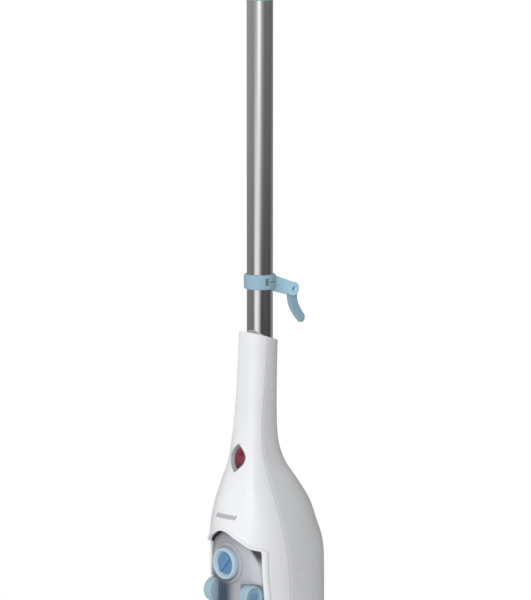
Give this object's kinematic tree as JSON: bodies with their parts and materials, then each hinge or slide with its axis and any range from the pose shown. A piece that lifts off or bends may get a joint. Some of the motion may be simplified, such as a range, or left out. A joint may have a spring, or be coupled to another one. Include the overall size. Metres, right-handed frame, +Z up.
{
  "type": "steam mop",
  "caption": "Upright steam mop: swivelling flat head with a cloth pad, bottle-shaped body with slide-out water tank, metal pole with cord hooks, and a trigger handle.",
  "frame": {"origin": "on the floor under the middle of the mop head", "axes": "+Z up along the pole, -Y towards the front of the mop where the water tank is, +X to the right as seen from the front"},
  "size_m": [0.2888, 0.178, 1.1853],
  "materials": {
    "white_plastic": "glossy moulded white",
    "blue_plastic": "satin moulded light blue",
    "grey_plastic": "fine textured grey",
    "black_plastic": "matt black",
    "smoked_plastic": "smoked translucent plastic",
    "lamp_red": "glossy dark red lens",
    "aluminium": "satin anodised",
    "steel": "zinc plated",
    "brass": "drawn tube",
    "rubber": "soft touch",
    "circuit_board": "green solder mask",
    "microfibre": "looped microfibre pile"
  },
  "bodies": {
    "mop_head": {"microfibre_pad": "microfibre", "hook_and_loop_strip_left": "grey_plastic", "hook_and_loop_strip_right": "grey_plastic", "sole_plate": "grey_plastic", "edge_bumper": "blue_plastic", "head_cover": "white_plastic", "steam_manifold": "black_plastic", "pivot_bracket": "grey_plastic", "pitch_pin": "steel"},
    "yoke": {"swivel_yoke": "white_plastic"},
    "neck": {"neck_socket": "white_plastic", "roll_pin": "steel"},
    "neck_button": {"neck_button": "blue_plastic"},
    "body": {"spigot": "grey_plastic", "steam_pipe": "brass", "boiler": "aluminium", "pump": "black_plastic", "pump_pipe": "rubber", "control_board": "circuit_board", "microswitch": "black_plastic", "front_shell": "white_plastic", "rear_shell": "white_plastic", "body_screw_1": "steel", "body_screw_2": "steel", "body_screw_3": "steel", "body_screw_4": "steel", "lamp_bezel": "grey_plastic", "lamp_lens": "lamp_red", "tank_bay": "black_plastic", "cord_gland": "grey_plastic", "pole_tube": "aluminium", "lower_hook_clamp": "blue_plastic", "lower_hook_pin": "steel", "handle_front": "white_plastic", "handle_rear": "white_plastic", "handle_cap": "blue_plastic", "grip_panel": "rubber", "handle_screw_1": "steel", "handle_screw_2": "steel", "trigger_pin": "steel", "rod_bush": "black_plastic"},
    "tank": {"water_tank": "smoked_plastic", "tank_valve": "blue_plastic"},
    "cap": {"filler_cap": "blue_plastic", "filler_seal": "rubber"},
    "release_left": {"tank_release_left": "blue_plastic"},
    "release_right": {"tank_release_right": "blue_plastic"},
    "hook_finger": {"lower_hook_finger": "blue_plastic"},
    "swivel_hook": {"upper_hook": "blue_plastic"},
    "trigger": {"trigger": "blue_plastic"},
    "push_rod": {"trigger_rod": "aluminium", "trigger_spring": "steel"}
  },
  "joints": [
    {"name": "head_pitch", "type": "hinge", "parent": "mop_head", "child": "yoke", "pos_m": [0, 0, 0.046], "axis": [-1, 0, 0], "range_deg": [0, 75]},
    {"name": "head_roll", "type": "hinge", "parent": "yoke", "child": "neck", "pos_m": [0, 0, 0.074], "axis": [0, 1, 0], "range_deg": [-35, 35]},
    {"name": "neck_button_press", "type": "slide", "parent": "neck", "child": "neck_button", "axis": [0, 1, 0], "range_m": [0, 0.0024], "stiffness_N_per_m": 400, "springref_m": -0.002},
    {"name": "body_lift", "type": "slide", "parent": "neck", "child": "body", "axis": [0, 0, 1], "range_m": [0, 0.04]},
    {"name": "tank_slide", "type": "slide", "parent": "body", "child": "tank", "axis": [0, -1, 0], "range_m": [0, 0.06]},
    {"name": "filler_cap_turn", "type": "hinge", "parent": "tank", "child": "cap", "pos_m": [0, -0.042, 0.318], "axis": [0, -1, 0], "range_deg": [0, 90]},
    {"name": "release_left_press", "type": "slide", "parent": "tank", "child": "release_left", "axis": [1, 0, 0], "range_m": [0, 0.003], "stiffness_N_per_m": 500, "springref_m": -0.002},
    {"name": "release_right_press", "type": "slide", "parent": "tank", "child": "release_right", "axis": [-1, 0, 0], "range_m": [0, 0.003], "stiffness_N_per_m": 500, "springref_m": -0.002},
    {"name": "hook_finger_fold", "type": "hinge", "parent": "body", "child": "hook_finger", "pos_m": [0, 0.041, 0.574], "axis": [1, 0, 0], "range_deg": [0, 85]},
    {"name": "upper_hook_swivel", "type": "hinge", "parent": "body", "child": "swivel_hook", "pos_m": [0, 0, 0.858], "axis": [0, 0, 1], "range_deg": [-180, 180]},
    {"name": "trigger_pull", "type": "hinge", "parent": "body", "child": "trigger", "pos_m": [0, -0.003, 1.03], "axis": [-1, 0, 0], "range_deg": [0, 12]},
    {"name": "rod_push", "type": "slide", "parent": "body", "child": "push_rod", "axis": [0, 0, -1], "range_m": [0, 0.0012], "stiffness_N_per_m": 500, "springref_m": -0.004, "deforming": ["trigger_spring"]}
  ],
  "couplings": [
    {"joint": "trigger_pull", "follows": "rod_push", "rad_per_m": 174.5}
  ]
}
